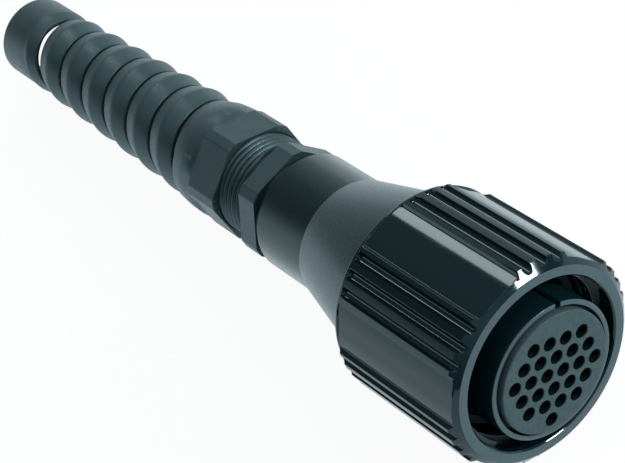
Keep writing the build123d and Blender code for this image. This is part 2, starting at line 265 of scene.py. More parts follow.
def makeFlatsTree():  # mills a ring of flats into a turned piece, with soft edges and rounded corners
    tree, given = newTree("milledFlats", {
        "Flats": 6, "First angle": 0.0, "Distance": 12.0, "Half width": 100.0, "Corner": 0.5,
        "Back": -1000.0, "Wall slope": 3.0, "Roll width": 0.0, "Roll radius": 13.0,
        "Softness": 0.1, "Least radius": 0.0})
    parts, angle, radius = pointParts(tree)
    local = sectorAngle(tree, angle, given["Flats"], given["First angle"])
    aside = calc(tree, "ABSOLUTE", calc(tree, "MULTIPLY", given["Distance"], calc(tree, "TANGENT", local)))
    outside = calc(tree, "SUBTRACT", aside, calc(tree, "SUBTRACT", given["Half width"], given["Corner"]))
    outside = calc(tree, "MAXIMUM", outside, 0.0)
    behind = calc(tree, "SUBTRACT", calc(tree, "ADD", given["Back"], given["Corner"]), parts["X"])
    behind = calc(tree, "MAXIMUM", behind, 0.0)
    behindSquare = calc(tree, "MULTIPLY", behind, behind)
    squares = calc(tree, "ADD", calc(tree, "MULTIPLY", outside, outside), behindSquare)
    beyond = calc(tree, "SUBTRACT", calc(tree, "SQRT", squares), given["Corner"])
    beyond = calc(tree, "MAXIMUM", beyond, 0.0)
    flat = calc(tree, "DIVIDE", given["Distance"], calc(tree, "COSINE", local))
    rolled = calc(tree, "SUBTRACT", aside, calc(tree, "SUBTRACT", given["Half width"], given["Roll width"]))
    rolled = calc(tree, "MINIMUM", calc(tree, "MAXIMUM", rolled, 0.0), given["Roll width"])
    rollWidth = calc(tree, "MULTIPLY", given["Roll radius"], 2.0)
    drop = calc(tree, "DIVIDE", calc(tree, "MULTIPLY", rolled, rolled), rollWidth)
    flat = calc(tree, "SUBTRACT", flat, drop)
    cut = calc(tree, "ADD", flat, calc(tree, "MULTIPLY", beyond, given["Wall slope"]))
    return closeTree(tree, cutOuter(tree, given, parts, angle, radius, cut), given["Material"])


def makeGroovesTree():  # mills groups of round-bottomed grooves along a turned piece
    tree, given = newTree("gripGrooves", {
        "Groups": 6, "First angle": 0.0, "Each side": 1, "Spacing": 9.6, "Floor radius": 21.3,
        "Groove radius": 1.0, "Back": -1000.0, "Wall slope": 3.0, "Softness": 0.1, "Least radius": 0.0})
    parts, angle, radius = pointParts(tree)
    local = sectorAngle(tree, angle, given["Groups"], given["First angle"])
    spacing = calc(tree, "RADIANS", given["Spacing"])
    number = calc(tree, "ROUND", calc(tree, "DIVIDE", local, spacing))
    number = calc(tree, "MINIMUM", number, given["Each side"])
    number = calc(tree, "MAXIMUM", number, calc(tree, "MULTIPLY", given["Each side"], -1.0))
    fromMiddle = calc(tree, "SUBTRACT", local, calc(tree, "MULTIPLY", number, spacing))
    aside = calc(tree, "ABSOLUTE", calc(tree, "MULTIPLY", radius, calc(tree, "SINE", fromMiddle)))
    curve = given["Groove radius"]
    bowl = calc(tree, "SUBTRACT", calc(tree, "MULTIPLY", curve, curve), calc(tree, "MULTIPLY", aside, aside))
    bowl = calc(tree, "SQRT", calc(tree, "MAXIMUM", bowl, 0.0))
    floor = calc(tree, "SUBTRACT", calc(tree, "ADD", given["Floor radius"], curve), bowl)
    outside = calc(tree, "MAXIMUM", calc(tree, "SUBTRACT", aside, curve), 0.0)
    behind = calc(tree, "MAXIMUM", calc(tree, "SUBTRACT", given["Back"], parts["X"]), 0.0)
    wall = calc(tree, "MULTIPLY", calc(tree, "ADD", outside, behind), given["Wall slope"])
    cut = calc(tree, "ADD", floor, wall)
    return closeTree(tree, cutOuter(tree, given, parts, angle, radius, cut), given["Material"])


def makeWindTree():  # winds straight bars into right-handed helices on a taper
    tree, given = newTree("windOnTaper", {
        "Pitch": 1.5, "Turns": 1.0, "Front station": 0.0, "First angle": 0.0, "Front radius": 10.0,
        "Back radius": 10.0, "Fade turns": 0.01, "Fade depth": 0.0, "Starts": 1})
    parts = pointParts(tree)[0]
    turns = parts["Z"]
    station = calc(tree, "SUBTRACT", given["Front station"], calc(tree, "MULTIPLY", given["Pitch"], turns))
    station = calc(tree, "ADD", station, parts["X"])
    taper = calc(tree, "SUBTRACT", given["Back radius"], given["Front radius"])
    taper = calc(tree, "MULTIPLY", calc(tree, "DIVIDE", taper, given["Turns"]), turns)
    toEnd = calc(tree, "MINIMUM", turns, calc(tree, "SUBTRACT", given["Turns"], turns))
    fade = addNode(tree, "ShaderNodeMapRange", {
        "Value": toEnd, "From Max": given["Fade turns"], "To Min": given["Fade depth"], "To Max": 0.0})[0]
    height = calc(tree, "SUBTRACT", calc(tree, "ADD", parts["Y"], given["Front radius"]), fade)
    turned = calc(tree, "MULTIPLY", turns, -2 * pi)
    turned = calc(tree, "ADD", calc(tree, "RADIANS", given["First angle"]), turned)
    wound = placePoints(tree, given["Geometry"], station, turned, calc(tree, "ADD", height, taper))
    single = addNode(tree, "GeometryNodeGeometryToInstance", {0: wound})[0]
    copies = addNode(tree, "GeometryNodeDuplicateElements", {
        "Geometry": single, "Amount": given["Starts"]}, domain="INSTANCE")
    share = calc(tree, "MULTIPLY", copies["Duplicate Index"], calc(tree, "DIVIDE", 2 * pi, given["Starts"]))
    swing = addNode(tree, "ShaderNodeCombineXYZ", {"X": share})[0]
    spread = addNode(tree, "GeometryNodeRotateInstances", {
        "Instances": copies["Geometry"], "Rotation": swing})[0]
    return closeTree(tree, spread, given["Material"])


def makeContactTree(name, drill):  # sets the tool at every contact place, or drills with it
    tree, given = newTree(name, {
        "Pitch": 3.96, "Rows": 6, "Longest row": 6, "Lowest row": -3, "Lowest holes": 1})
    total = calc(tree, "MULTIPLY", given["Rows"], given["Longest row"])
    points = addNode(tree, "GeometryNodePoints", {"Count": total})[0]
    index = addNode(tree, "GeometryNodeInputIndex")[0]
    line = calc(tree, "FLOOR", calc(tree, "DIVIDE", index, given["Longest row"]))
    hole = calc(tree, "SUBTRACT", index, calc(tree, "MULTIPLY", line, given["Longest row"]))
    row = calc(tree, "ADD", line, given["Lowest row"])
    inRow = calc(tree, "SUBTRACT", given["Longest row"], calc(tree, "ABSOLUTE", row))
    lowest = calc(tree, "COMPARE", row, given["Lowest row"], 0.1)
    shorter = calc(tree, "MULTIPLY", lowest, calc(tree, "SUBTRACT", given["Lowest holes"], inRow))
    inRow = calc(tree, "ADD", inRow, shorter)
    middle = calc(tree, "MULTIPLY", calc(tree, "SUBTRACT", inRow, 1.0), 0.5)
    across = calc(tree, "MULTIPLY", calc(tree, "SUBTRACT", hole, middle), given["Pitch"])
    upward = calc(tree, "MULTIPLY", calc(tree, "MULTIPLY", row, given["Pitch"]), sqrt(3) / 2)
    spot = addNode(tree, "ShaderNodeCombineXYZ", {"Y": across, "Z": upward})[0]
    spot = addNode(tree, "ShaderNodeVectorMath", {0: spot, "Scale": mm}, operation="SCALE")[0]
    spread = addNode(tree, "GeometryNodeSetPosition", {"Geometry": points, "Position": spot})[0]
    spare = calc(tree, "GREATER_THAN", hole, calc(tree, "SUBTRACT", inRow, 0.5))
    kept = addNode(tree, "GeometryNodeDeleteGeometry", {
        "Geometry": spread, "Selection": spare}, domain="POINT")[0]
    shape = addNode(tree, "GeometryNodeObjectInfo", {
        "Object": given["Tool"], "As Instance": True})["Geometry"]
    placed = addNode(tree, "GeometryNodeInstanceOnPoints", {"Points": kept, "Instance": shape})[0]
    if not drill:
        return closeTree(tree, placed, given["Material"])
    real = addNode(tree, "GeometryNodeRealizeInstances", {0: placed})[0]
    cut = addNode(tree, "GeometryNodeMeshBoolean", {"Mesh 1": given["Geometry"], "Mesh 2": real},
                  operation="DIFFERENCE", solver="EXACT")[0]
    return closeTree(tree, cut, given["Material"])


milledFlats = makeFlatsTree()
gripGrooves = makeGroovesTree()
windOnTaper = makeWindTree()
contactDrill = makeContactTree("contactDrill", True)
contactPlaces = makeContactTree("contactPlaces", False)
print("helpers ready")


# Finishes
def shade(red, green, blue):  # a colour as read on a screen, 0 to 255, in Blender's linear values
    linear = []
    for value in (red, green, blue):
        share = value / 255
        linear.append(share / 12.92 if share < 0.04045 else ((share + 0.055) / 1.055) ** 2.4)
    return (*linear, 1.0)


def mixColours(tree, factor, first, second):
    outputs = addNode(tree, "ShaderNodeMix", {"Factor": factor, "A": first, "B": second}, data_type="RGBA")
    return [socket for socket in outputs if socket.type == "RGBA"][0]


def finishMaterial(name, look):  # clouded colour, grainy gloss and a fine bump, all on Object coordinates
    material = bpy.data.materials.new(name)
    material.use_nodes = True
    tree = material.node_tree
    shader = tree.nodes["Principled BSDF"].inputs
    place = addNode(tree, "ShaderNodeTexCoord")["Object"]
    stretched = addNode(tree, "ShaderNodeMapping", {
        "Vector": place, "Scale": look.get("stretch", (1, 1, 1))})[0]
    cloud = addNode(tree, "ShaderNodeTexNoise", {
        "Vector": stretched, "Scale": look["cloudScale"], "Detail": 4.0})[0]
    grain = addNode(tree, "ShaderNodeTexNoise", {
        "Vector": stretched, "Scale": look["grainScale"], "Detail": 3.0})[0]
    tree.links.new(mixColours(tree, cloud, look["dark"], look["light"]), shader["Base Color"])
    shader["Metallic"].default_value = look.get("metallic", 0.0)
    shader["Specular IOR Level"].default_value = look.get("specular", 0.5)
    shader["Specular Tint"].default_value = look.get("tint", (1, 1, 1, 1))
    smoothest, roughest = look["rough"]
    rough = addNode(tree, "ShaderNodeMapRange", {
        "Value": grain, "From Min": 0.3, "From Max": 0.7, "To Min": smoothest, "To Max": roughest})[0]
    tree.links.new(rough, shader["Roughness"])
    bump = addNode(tree, "ShaderNodeBump", {
        "Height": grain, "Strength": look["bump"], "Distance": look["bumpDepth"] * mm})[0]
    tree.links.new(bump, shader["Normal"])
    return material


tealTint = (0.60, 0.92, 1.0, 1.0)
ringBlack = finishMaterial("ringBlack", {
    "dark": shade(3, 26, 30), "light": shade(7, 31, 36), "cloudScale": 90, "grainScale": 900,
    "stretch": (0.12, 1, 1), "rough": (0.08, 0.11), "bump": 0.03, "bumpDepth": 0.01,
    "tint": (0.72, 0.94, 1.0, 1.0)})
rimBlack = finishMaterial("rimBlack", {
    "dark": shade(58, 74, 78), "light": shade(72, 88, 92), "cloudScale": 90, "grainScale": 900,
    "rough": (0.2, 0.28), "bump": 0.05, "bumpDepth": 0.01, "tint": tealTint})
# painted shade: a near-black colour on the walls of the contact holes that stands in for the shade falling
# deep inside them
paintedHoleShade = finishMaterial("paintedHoleShade", {
    "dark": shade(4, 18, 20), "light": shade(8, 24, 26), "cloudScale": 200, "grainScale": 1500,
    "rough": (0.5, 0.6), "bump": 0.1, "bumpDepth": 0.02, "tint": tealTint})
shellBlack = finishMaterial("shellBlack", {
    "dark": shade(8, 28, 32), "light": shade(12, 34, 38), "cloudScale": 120, "grainScale": 1400,
    "rough": (0.18, 0.26), "bump": 0.08, "bumpDepth": 0.02, "tint": tealTint})
satinBlack = finishMaterial("satinBlack", {
    "dark": shade(34, 50, 53), "light": shade(40, 57, 60), "cloudScale": 90, "grainScale": 2600,
    "rough": (0.24, 0.31), "bump": 0.1, "bumpDepth": 0.02, "tint": tealTint, "specular": 0.7})
tubeBlack = finishMaterial("tubeBlack", {
    "dark": shade(5, 24, 27), "light": shade(9, 29, 33), "cloudScale": 60, "grainScale": 900,
    "rough": (0.16, 0.22), "bump": 0.04, "bumpDepth": 0.02, "tint": tealTint})
insertGrey = finishMaterial("insertGrey", {
    "dark": shade(46, 62, 64), "light": shade(70, 87, 89), "cloudScale": 700, "grainScale": 1800,
    "rough": (0.55, 0.7), "bump": 0.25, "bumpDepth": 0.03, "tint": tealTint})
nylonBlack = finishMaterial("nylonBlack", {
    "dark": shade(38, 52, 54), "light": shade(54, 69, 71), "cloudScale": 260, "grainScale": 1700,
    "rough": (0.36, 0.48), "bump": 0.35, "bumpDepth": 0.03, "tint": tealTint, "specular": 0.8})
sealRubber = finishMaterial("sealRubber", {
    "dark": shade(10, 30, 34), "light": shade(16, 38, 42), "cloudScale": 200, "grainScale": 1500,
    "rough": (0.6, 0.75), "bump": 0.2, "bumpDepth": 0.03, "tint": tealTint})
contactGold = finishMaterial("contactGold", {
    "dark": shade(196, 152, 78), "light": shade(222, 178, 98), "cloudScale": 300, "grainScale": 900,
    "rough": (0.22, 0.32), "bump": 0.05, "bumpDepth": 0.01, "metallic": 1.0})
springSteel = finishMaterial("springSteel", {
    "dark": shade(140, 142, 145), "light": shade(172, 174, 177), "cloudScale": 200, "grainScale": 1200,
    "rough": (0.28, 0.38), "bump": 0.08, "bumpDepth": 0.01, "metallic": 1.0})
print("finishes ready")


# Coupling ring: turned blank, six milled panels, groups of grip grooves, bayonet ramps in its bore
ringSizes = {
    "boreRadius": 18.1, "lipRadius": 20.4, "crestRadius": 22.45, "chamferLength": 1.7, "boreChamfer": 0.35,
    "rearBand": 0.9, "bandStart": 0.2, "rearBandRadius": 21.65, "crestChamfer": 0.65, "grooveEnds": 1.2,
    "rearBore": 19.5, "webLength": 3.4, "webFront": -19.36, "webBore": 16.06, "rimDepth": 0.15,
    "chamferEdge": 0.08, "rearRounding": 0.45, "around": 1440}
panelSizes = {
    "Flats": 6, "First angle": 2.5, "Distance": 21.35, "Half width": 5.3, "Corner": 0.8,
    "Wall slope": 1.5, "Roll width": 4.0, "Roll radius": 20.0, "Softness": 0.06, "Least radius": 19.8}
grooveSizes = {
    "Groups": 6, "First angle": 32.5, "Each side": 1, "Spacing": 9.6, "Floor radius": 21.3,
    "Groove radius": 1.04, "Wall slope": 2.4, "Softness": 0.14, "Least radius": 19.8, "stop": 1.5}
rampSizes = {
    "Pitch": 9.0, "Turns": 220 / 360, "Front station": ringFront - 2.6, "First angle": 240.0,
    "Front radius": 18.1, "Back radius": 18.1, "Fade turns": 0.01, "Fade depth": 0.0, "Starts": 3,
    "width": 1.1, "height": 1.0, "root": 0.3, "rounding": 0.15, "stepsPerTurn": 160}


def makeCouplingRing():
    sizes = ringSizes
    bore = sizes["boreRadius"]
    lip = sizes["lipRadius"]
    crest = sizes["crestRadius"]
    band = sizes["rearBandRadius"]
    rearBore = sizes["rearBore"]
    webBore = sizes["webBore"]
    chamferEnd = ringFront - sizes["chamferLength"]
    bandFront = ringBack + sizes["rearBand"]
    crestEnd = bandFront + sizes["crestChamfer"]
    endsFront = crestEnd + sizes["grooveEnds"]
    webFront = sizes["webFront"]
    webBack = webFront - sizes["webLength"]
    corners = [(ringFront, bore + sizes["boreChamfer"], sizes["chamferEdge"]), (ringFront, lip, fineEdge)]
    corners += slopeRows((ringFront, lip), (chamferEnd, crest), 9)
    corners += slopeRows((chamferEnd, crest), (endsFront, crest), 5)
    corners += slopeRows((endsFront, crest), (crestEnd, crest), 10)
    corners += slopeRows((crestEnd, crest), (bandFront, band), 6)
    corners += [
        (bandFront - sizes["bandStart"], band, 0), (ringBack, band, sizes["rearRounding"]),
        (ringBack, rearBore, softEdge), (webBack, rearBore, 0), (webBack, webBore, fineEdge),
        (webFront, webBore, fineEdge), (webFront, bore, 0),
        (ringFront - sizes["boreChamfer"], bore, sizes["chamferEdge"])]
    ring = turnedPiece("couplingRing", roundedOutline(corners, steps=3), sizes["around"])
    bakeTree(ring, milledFlats, panelSizes | {"Back": bandFront}, ringBlack)
    bakeTree(ring, gripGrooves, grooveSizes | {"Back": ringBack + grooveSizes["stop"]}, ringBlack)
    rimStart = ringFront - sizes["rimDepth"]
    settle(ring, [ringBlack, rimBlack], "coupling_ring", "coupling_ring", sharp=40,
           second=lambda spot, normal: spot.x > rimStart and abs(normal.x) > 0.9)
    half = rampSizes["width"] / 2
    height = rampSizes["height"]
    root = rampSizes["root"]
    section = roundedOutline([
        (-half, -height, rampSizes["rounding"]), (half, -height, rampSizes["rounding"]),
        (half, root, 0), (-half, root, 0)])
    ramps = barPiece("bayonetRamps", section, rampSizes["Turns"], rampSizes["stepsPerTurn"])
    bakeTree(ramps, windOnTaper, rampSizes, ringBlack)
    settle(ramps, [ringBlack], "coupling_ring", "coupling_ring")


makeCouplingRing()
print("coupling ring ready")


# Plug shell: barrel with a keyway, flange, ring journal and rear thread
shellSizes = {
    "barrelRadius": 14.5, "barrelInner": 13.45, "rimRounding": 0.22, "innerRounding": 0.15,
    "barrelLength": 13.0, "rimDepth": 0.3, "flangeRadius": 17.4, "flangeLength": 3.0, "journalRadius": 16.0,
    "snapFront": -22.88, "snapBack": -24.08, "snapDepth": 0.8, "threadRadius": 15.4, "boreRadius": 14.0,
    "insertStep": 14.5, "around": 360}
keywaySizes = {"angle": 89.5, "width": 1.35, "depth": 9.0, "height": 4.0}


def makePlugShell():
    sizes = shellSizes
    outer = sizes["barrelRadius"]
    inner = sizes["barrelInner"]
    flange = sizes["flangeRadius"]
    journal = sizes["journalRadius"]
    thread = sizes["threadRadius"]
    bore = sizes["boreRadius"]
    barrelBack = barrelRim - sizes["barrelLength"]
    flangeBack = barrelBack - sizes["flangeLength"]
    step = barrelRim - sizes["insertStep"]
    snapFloor = journal - sizes["snapDepth"]
    shell = turnedPiece("plugShell", roundedOutline([
        (barrelRim, inner, sizes["innerRounding"]), (barrelRim, outer, sizes["rimRounding"]),
        (barrelBack, outer, fineEdge), (barrelBack, flange, softEdge), (flangeBack, flange, softEdge),
        (flangeBack, journal, 0), (sizes["snapFront"], journal, 0), (sizes["snapFront"], snapFloor, 0),
        (sizes["snapBack"], snapFloor, 0), (sizes["snapBack"], journal, 0), (backshellFront, journal, 0),
        (backshellFront, thread, 0), (shellBack, thread, softEdge), (shellBack, bore, softEdge),
        (step, bore, 0), (step, inner, 0)]), sizes["around"])
    key = keywaySizes
    bpy.ops.mesh.primitive_cube_add(size=1)
    cutter = bpy.context.object
    shape = Matrix.Diagonal((2 * key["depth"] * mm, key["height"] * mm, key["width"] * mm, 1))
    outward = Matrix.Translation((0, outer * mm, 0))
    cutter.data.transform(Matrix.Rotation(radians(key["angle"]), 4, "X") @ outward @ shape)
    cut = shell.modifiers.new("keyway", "BOOLEAN")
    cut.operation = "DIFFERENCE"
    cut.object = cutter
    cut.solver = "EXACT"
    bakeModifier(shell, cut)
    dropPiece(cutter)
    rimStart = barrelRim - sizes["rimDepth"]
    settle(shell, [shellBlack, rimBlack], "plug", "plug_shell",
           second=lambda spot, normal: spot.x > rimStart and normal.x > 0.2)


makePlugShell()
print("plug shell ready")


# Socket insert: a moulded face drilled for twenty-five contacts, and the contacts in it
insertSizes = {
    "faceRadius": 12.8, "faceLength": 4.0, "bodyRadius": 13.4, "flangeRadius": 13.95, "flangeStation": -14.5,
    "rounding": 0.3, "faceMargin": 0.4, "around": 240}
holeSizes = {
    "radius": 1.45, "sinkRadius": 1.58, "sinkDepth": 0.14, "overrun": 1.0, "edgeMargin": 0.1, "around": 40}
contactSizes = {
    "front": -2.45, "length": 27.0, "radius": 1.2, "boreRadius": 0.8, "boreDepth": 9.0, "axisRadius": 0.02,
    "mouthDepth": 0.3, "mouthFlare": 0.2, "edge": 0.12, "around": 24}
patternSizes = {"Pitch": 3.96, "Rows": 6, "Longest row": 6, "Lowest row": -3, "Lowest holes": 1}


def makeInsert():
    sizes = insertSizes
    face = sizes["faceRadius"]
    rounding = sizes["rounding"]
    faceBack = insertFront - sizes["faceLength"]
    profile = [(insertFront, face - rounding - sizes["faceMargin"])]
    for angle in span(pi / 2, 0, 5):
        profile.append((insertFront - rounding * (1 - sin(angle)), face - rounding * (1 - cos(angle))))
    profile += [
        (faceBack, face), (faceBack, sizes["bodyRadius"]), (sizes["flangeStation"], sizes["bodyRadius"]),
        (sizes["flangeStation"], sizes["flangeRadius"]), (insertBack, sizes["flangeRadius"])]
    insert = turnedPiece("socketInsert", profile, sizes["around"], solid=True)
    hole = holeSizes
    sinkBack = insertFront - hole["sinkDepth"]
    drill = turnedPiece("drill", [
        (insertFront + hole["overrun"], hole["sinkRadius"]), (insertFront, hole["sinkRadius"]),
        (sinkBack, hole["radius"]), (insertBack - hole["overrun"], hole["radius"])],
        hole["around"], solid=True)
    bakeTree(insert, contactDrill, patternSizes, insertGrey, drill)
    dropPiece(drill)
    # faces behind the countersink and inside the face radius (the contact hole walls and the back cap) take
    # the painted hole shade, a near-black colour for the shade in the holes
    reach = face - hole["edgeMargin"]
    settle(insert, [insertGrey, paintedHoleShade], "plug", "contact_insert",
           second=lambda spot, normal: spot.x < sinkBack and spot.yz.length < reach)
    contact = contactSizes
    front = contact["front"]
    back = front - contact["length"]
    boreEnd = front - contact["boreDepth"]
    radius = contact["radius"]
    bore = contact["boreRadius"]
    edge = contact["edge"]
    socket = turnedPiece("socket", [
        (boreEnd, contact["axisRadius"]), (boreEnd, bore), (front - contact["mouthDepth"], bore),
        (front, bore + contact["mouthFlare"]), (front, radius - edge), (front - edge, radius),
        (back + edge, radius), (back, radius - edge), (back, contact["axisRadius"])],
        contact["around"], solid=True)
    contacts = meshPiece("socketContacts", [(0, 0, 0)], [])
    bakeTree(contacts, contactPlaces, patternSizes, contactGold, socket)
    dropPiece(socket)
    settle(contacts, [contactGold], "plug", "socket_contacts")


makeInsert()
print("insert ready")


# Backshell: satin flare with a crease, then a glossy tube
backshellSizes = {
    "flareRadius": 19.2, "neckRadius": 13.5, "flareLength": 22.4, "tubeRadius": 13.2, "tubeRounding": 0.4,
    "frontRounding": 0.3, "creaseRounding": 1.5, "neckRounding": 0.12, "neckFillet": 0.04,
    "seatRadius": 16.87, "seatDepth": 1.35, "boreRadius": 15.52, "innerRadius": 11.2, "entryRadius": 10.12,
    "entryLength": 11.0, "around": 360}


def makeBackshell():
    sizes = backshellSizes
    flare = sizes["flareRadius"]
    seat = sizes["seatRadius"]
    bore = sizes["boreRadius"]
    inner = sizes["innerRadius"]
    entry = sizes["entryRadius"]
    tube = sizes["tubeRadius"]
    neck = ringBack - sizes["flareLength"]
    seatBack = backshellFront - sizes["seatDepth"]
    entryFront = tubeBack + sizes["entryLength"]
    backshell = turnedPiece("backshell", roundedOutline([
        (backshellFront, seat, 0), (backshellFront, flare, sizes["frontRounding"]),
        (ringBack, flare, sizes["creaseRounding"]), (neck, sizes["neckRadius"], sizes["neckRounding"]),
        (neck, tube, sizes["neckFillet"]), (tubeBack, tube, sizes["tubeRounding"]),
        (tubeBack, entry, softEdge), (entryFront, entry, 0), (entryFront, inner, 0), (neck, inner, 0),
        (ringBack, shellSizes["boreRadius"], 0), (shellBack, shellSizes["boreRadius"], 0),
        (shellBack, bore, 0), (seatBack, bore, 0), (seatBack, seat, 0)]), sizes["around"])
    settle(backshell, [satinBlack, tubeBlack], "plug", "backshell", sharp=12,
           second=lambda spot, normal: spot.x < neck - 0.01)


makeBackshell()
print("backshell ready")


# Cable gland: hexagon body with a threaded sleeve
glandSizes = {
    "hexLength": 5.4, "cornerRadius": 13.86, "chamfer": 0.25, "entryRadius": 10.0, "sleeveRadius": 10.85,
    "boreRadius": 7.3, "seatRadius": 9.5, "seatDepth": 9.5, "rounding": 0.3, "chamferEdge": 0.08,
    "sleeveRounding": 0.4, "around": 480}
glandFlats = {"Flats": 6, "First angle": 4.3, "Distance": 12.0, "Softness": 0.12, "Least radius": 11.7}
glandCorners = {"Flats": 6, "First angle": 34.3, "Distance": 13.2, "Softness": 0.12, "Least radius": 12.6}
threadSizes = {
    "Pitch": 1.5, "Turns": 9.0, "First angle": 200.0, "Front radius": 10.85, "Back radius": 10.85,
    "Fade turns": 0.35, "Fade depth": 0.7, "Starts": 1, "stepsPerTurn": 72}
threadSection = [
    (-0.62, -0.25), (-0.5, 0.06), (-0.16, 0.56), (-0.06, 0.6), (0.06, 0.6), (0.16, 0.56), (0.5, 0.06),
    (0.62, -0.25)]


def makeGland():
    sizes = glandSizes
    corner = sizes["cornerRadius"]
    chamfer = sizes["chamfer"]
    sleeve = sizes["sleeveRadius"]
    entry = sizes["entryRadius"]
    seat = sizes["seatRadius"]
    bore = sizes["boreRadius"]
    hexBack = glandHexFront - sizes["hexLength"]
    seatFront = sleeveBack + sizes["seatDepth"]
    corners = [
        (glandFront, bore, fineEdge), (glandFront, entry, sizes["rounding"]), (glandHexFront, entry, 0),
        (glandHexFront, corner - chamfer, sizes["chamferEdge"])]
    corners += [(station, corner, 0) for station in span(glandHexFront - chamfer, hexBack + chamfer, 6)]
    corners += [
        (hexBack, corner - chamfer, sizes["chamferEdge"]), (hexBack, sleeve, sizes["rounding"]),
        (sleeveBack, sleeve, sizes["sleeveRounding"]), (sleeveBack, seat, softEdge), (seatFront, seat, 0),
        (seatFront, bore, 0)]
    gland = turnedPiece("glandBody", roundedOutline(corners, steps=3), sizes["around"])
    bakeTree(gland, milledFlats, glandCorners, nylonBlack)
    bakeTree(gland, milledFlats, glandFlats, nylonBlack)
    settle(gland, [nylonBlack], "plug", "gland_body")
    thread = barPiece("glandThread", threadSection, threadSizes["Turns"], threadSizes["stepsPerTurn"])
    threadFront = hexBack - threadSizes["Pitch"] / 2
    bakeTree(thread, windOnTaper, threadSizes | {"Front station": threadFront}, nylonBlack)
    settle(thread, [nylonBlack], "plug", "gland_body")


makeGland()
print("gland ready")


# Dome nut, spiral bend relief and tail collar: one moulding
nutSizes = {
    "hexLength": 11.5, "cornerRadius": 13.7, "frontRadius": 13.3, "frontChamfer": 0.4, "domeFront": -100.9,
    "domeRadius": 12.6, "flatEnds": 0.6, "domeStart": 0.9, "ridgeStation": -105.0, "ridgeRadius": 12.55,
    "shoulderRadius": 12.2, "shoulderLength": 4.0, "shoulderReach": 1.4, "threadBore": 11.57,
    "threadLength": 8.6, "coneMouth": 10.4, "coneLength": 6.4, "throat": 9.15,
    "frontRounding": 0.12, "ridgeRounding": 0.8, "shoulderRounding": 0.5, "around": 480}
nutFlats = {
    "Flats": 6, "First angle": 36.5, "Distance": 12.0, "Corner": 0.3, "Wall slope": 1.2, "Softness": 0.14,
    "Least radius": 11.8}
nutCorners = {
    "Flats": 6, "First angle": 6.5, "Distance": 13.2, "Corner": 0.3, "Wall slope": 1.2, "Softness": 0.14,
    "Least radius": 12.6}
reliefSizes = {
    "Pitch": 10.03, "Turns": 7.62, "Front radius": 12.308, "Back radius": 9.891, "First angle": 281.9,
    "Fade turns": 0.01, "Fade depth": 0.0, "Starts": 1, "stepsPerTurn": 96}
coilSizes = {
    "width": 8.63, "ridge": -0.2, "drop": 1.0, "ridgeRounding": 3.0, "edgeRounding": 0.3, "wall": 1.9,
    "narrowFrom": 6.75, "narrowBy": 0.26}
collarSizes = {
    "length": 13.3, "radius": 9.8, "rounding": 0.8, "boreRadius": 7.9, "boreRounding": 0.5,
    "slopeLength": 2.9, "slopeDrop": 0.9, "around": 240}


def coilSection():  # a low roof with a soft ridge, steeper towards the nut
    half = coilSizes["width"] / 2
    drop = coilSizes["drop"]
    wall = coilSizes["wall"]
    edge = coilSizes["edgeRounding"]
    return roundedOutline([
        (-half, -drop, edge), (coilSizes["ridge"], 0.0, coilSizes["ridgeRounding"]), (half, -drop, edge),
        (half, -wall, edge), (-half, -wall, edge)], steps=8)


def makeSpiralNut():
    sizes = nutSizes
    corner = sizes["cornerRadius"]
    face = sizes["frontRadius"]
    dome = sizes["domeRadius"]
    shoulder = sizes["shoulderRadius"]
    throat = sizes["throat"]
    bore = sizes["threadBore"]
    domeFront = sizes["domeFront"]
    shoulderBack = nutFront - sizes["hexLength"] - sizes["shoulderLength"]
    throatBack = shoulderBack - sizes["shoulderReach"]
    mouth = nutFront - sizes["threadLength"]
    coneBack = mouth - sizes["coneLength"]
    chamferBack = nutFront - sizes["frontChamfer"]
    flatsBack = domeFront + sizes["flatEnds"]
    corners = [(nutFront, bore, fineEdge), (nutFront, face, sizes["frontRounding"])]
    corners += slopeRows((nutFront, face), (chamferBack, corner), 6)
    corners += slopeRows((chamferBack, corner), (flatsBack, corner), 12)
    corners += slopeRows((flatsBack, corner), (domeFront, dome), 6)
    corners += [
        (domeFront - sizes["domeStart"], dome, 0),
        (sizes["ridgeStation"], sizes["ridgeRadius"], sizes["ridgeRounding"]),
        (throatBack, shoulder, sizes["shoulderRounding"]), (throatBack, throat, fineEdge),
        (coneBack, throat, 0), (mouth, sizes["coneMouth"], 0), (mouth, bore, 0)]
    nut = turnedPiece("domeNut", roundedOutline(corners, steps=3), sizes["around"])
    bakeTree(nut, milledFlats, nutCorners | {"Back": domeFront}, nylonBlack)
    bakeTree(nut, milledFlats, nutFlats | {"Back": domeFront}, nylonBlack)
    settle(nut, [nylonBlack], "spiral_nut", "spiral_nut")
    relief = reliefSizes
    coil = barPiece("spiralRelief", coilSection(), relief["Turns"], relief["stepsPerTurn"],
                    coilSizes["narrowFrom"], coilSizes["narrowBy"])
    coilFront = shoulderBack + relief["Pitch"] / 2
    bakeTree(coil, windOnTaper, relief | {"Front station": coilFront}, nylonBlack)
    settle(coil, [nylonBlack], "spiral_nut", "spiral_nut")
    collar = collarSizes
    front = tailBack + collar["length"]
    outer = collar["radius"]
    inner = collar["boreRadius"]
    tail = turnedPiece("tailCollar", roundedOutline([
        (front, inner, softEdge), (front, outer - collar["slopeDrop"], softEdge),
        (front - collar["slopeLength"], outer, collar["rounding"]), (tailBack, outer, collar["rounding"]),
        (tailBack, inner, collar["boreRounding"])]), collar["around"])
    settle(tail, [nylonBlack], "spiral_nut", "spiral_nut")


makeSpiralNut()
print("dome nut and relief ready")


# The inner parts keep their frame meshes and get their finishes
innerFinishes = {
    "wire_grommet": sealRubber, "grommet_follower": insertGrey, "insert_clamp_ring": shellBlack,
    "shell_gasket": sealRubber, "thrust_washers": springSteel, "wave_spring": springSteel,
    "snap_ring": springSteel, "backshell_seal": sealRubber, "gland_gasket": sealRubber,
    "clamp_seal": sealRubber, "claw_cage": nylonBlack}
for node, finish in innerFinishes.items():
    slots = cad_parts[node].material_slots
    for place in slots:
        place.material = finish
    if not slots:
        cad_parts[node].data.materials.append(finish)
print("inner parts finished")


